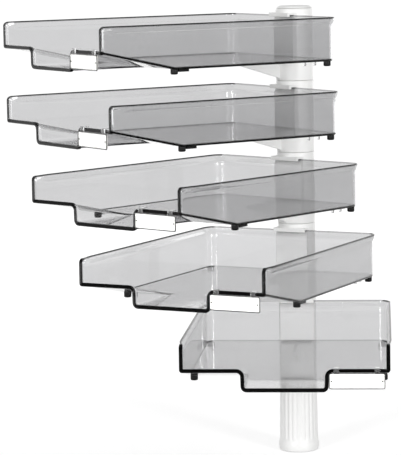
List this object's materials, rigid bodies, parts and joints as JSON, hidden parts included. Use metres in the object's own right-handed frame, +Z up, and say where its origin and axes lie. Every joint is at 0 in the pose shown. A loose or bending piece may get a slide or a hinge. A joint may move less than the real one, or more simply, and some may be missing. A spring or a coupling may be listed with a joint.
{
  "type": "swivelling letter tray tower",
  "caption": "Column tower of smoke-clear letter trays on white swivel arms, fanned round a mast; each tray has an open, scooped front lip and a blank label clip.",
  "frame": {"origin": "on the column's axis, at the lower end of the fluted sleeve", "axes": "+Z up along the column; -Y towards the viewer, the way the lowest tray opens at rest; +X to the viewer's right"},
  "size_m": [0.5116, 0.4876, 0.6126],
  "materials": {
    "white_plastic": "satin moulded white ABS",
    "smoke_clear": "glossy smoke-clear moulded polystyrene",
    "clear": "glossy clear moulded polystyrene",
    "card": "plain white card",
    "mast_steel": "bright drawn steel tube",
    "slip_washer": "natural acetal"
  },
  "bodies": {
    "column": {"fluted_sleeve": "white_plastic", "mast_tube": "mast_steel", "base_ring": "white_plastic", "column_cap": "white_plastic", "glide_washer_1": "slip_washer", "glide_washer_2": "slip_washer", "glide_washer_3": "slip_washer", "glide_washer_4": "slip_washer", "glide_washer_5": "slip_washer", "glide_washer_6": "slip_washer"},
    "tier_1": {"swivel_arm_1": "white_plastic", "letter_tray_1": "smoke_clear", "label_holder_1": "clear", "label_card_1": "card"},
    "tier_2": {"swivel_arm_2": "white_plastic", "letter_tray_2": "smoke_clear", "label_holder_2": "clear", "label_card_2": "card"},
    "tier_3": {"swivel_arm_3": "white_plastic", "letter_tray_3": "smoke_clear", "label_holder_3": "clear", "label_card_3": "card"},
    "tier_4": {"swivel_arm_4": "white_plastic", "letter_tray_4": "smoke_clear", "label_holder_4": "clear", "label_card_4": "card"},
    "tier_5": {"swivel_arm_5": "white_plastic", "letter_tray_5": "smoke_clear", "label_holder_5": "clear", "label_card_5": "card"}
  },
  "joints": [
    {"name": "tray_1_swivel", "type": "hinge", "parent": "column", "child": "tier_1", "pos_m": [0, 0, 0.542], "axis": [0, 0, 1], "continuous": true},
    {"name": "tray_2_swivel", "type": "hinge", "parent": "column", "child": "tier_2", "pos_m": [0, 0, 0.4446], "axis": [0, 0, 1], "continuous": true},
    {"name": "tray_3_swivel", "type": "hinge", "parent": "column", "child": "tier_3", "pos_m": [0, 0, 0.3472], "axis": [0, 0, 1], "continuous": true},
    {"name": "tray_4_swivel", "type": "hinge", "parent": "column", "child": "tier_4", "pos_m": [0, 0, 0.2498], "axis": [0, 0, 1], "continuous": true},
    {"name": "tray_5_swivel", "type": "hinge", "parent": "column", "child": "tier_5", "pos_m": [0, 0, 0.1524], "axis": [0, 0, 1], "continuous": true}
  ]
}
